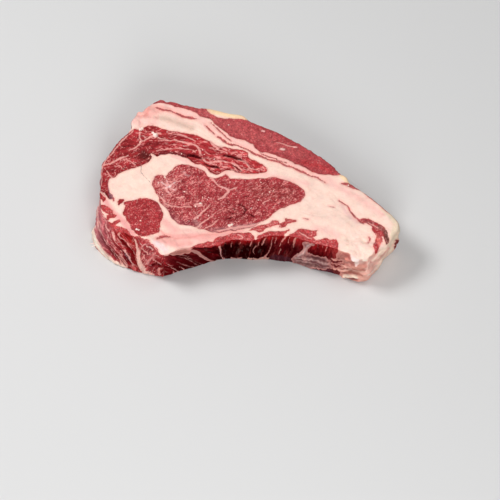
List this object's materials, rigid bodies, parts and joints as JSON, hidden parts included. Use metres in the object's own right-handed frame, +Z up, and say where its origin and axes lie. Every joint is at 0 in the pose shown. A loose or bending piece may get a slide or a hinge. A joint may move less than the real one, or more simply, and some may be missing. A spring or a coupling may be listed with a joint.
{
  "type": "raw ribeye steak",
  "caption": "Thick raw slice of beef rib-eye lying on one cut face, with muscles, seams of fat and an aged fat rind round the tail",
  "frame": {"origin": "middle of the underside's outer box, on the surface that the steak lies on", "axes": "+X along the slice towards the narrow tail, +Y towards its far edge as pictured, +Z up through the thickness"},
  "size_m": [0.221, 0.1392, 0.0339],
  "materials": {
    "raw_beef": "moist raw beef: red muscle with white marbling between cream and pink fat, soft sheen"
  },
  "bodies": {
    "root": {"steak": "raw_beef"}
  },
  "joints": []
}
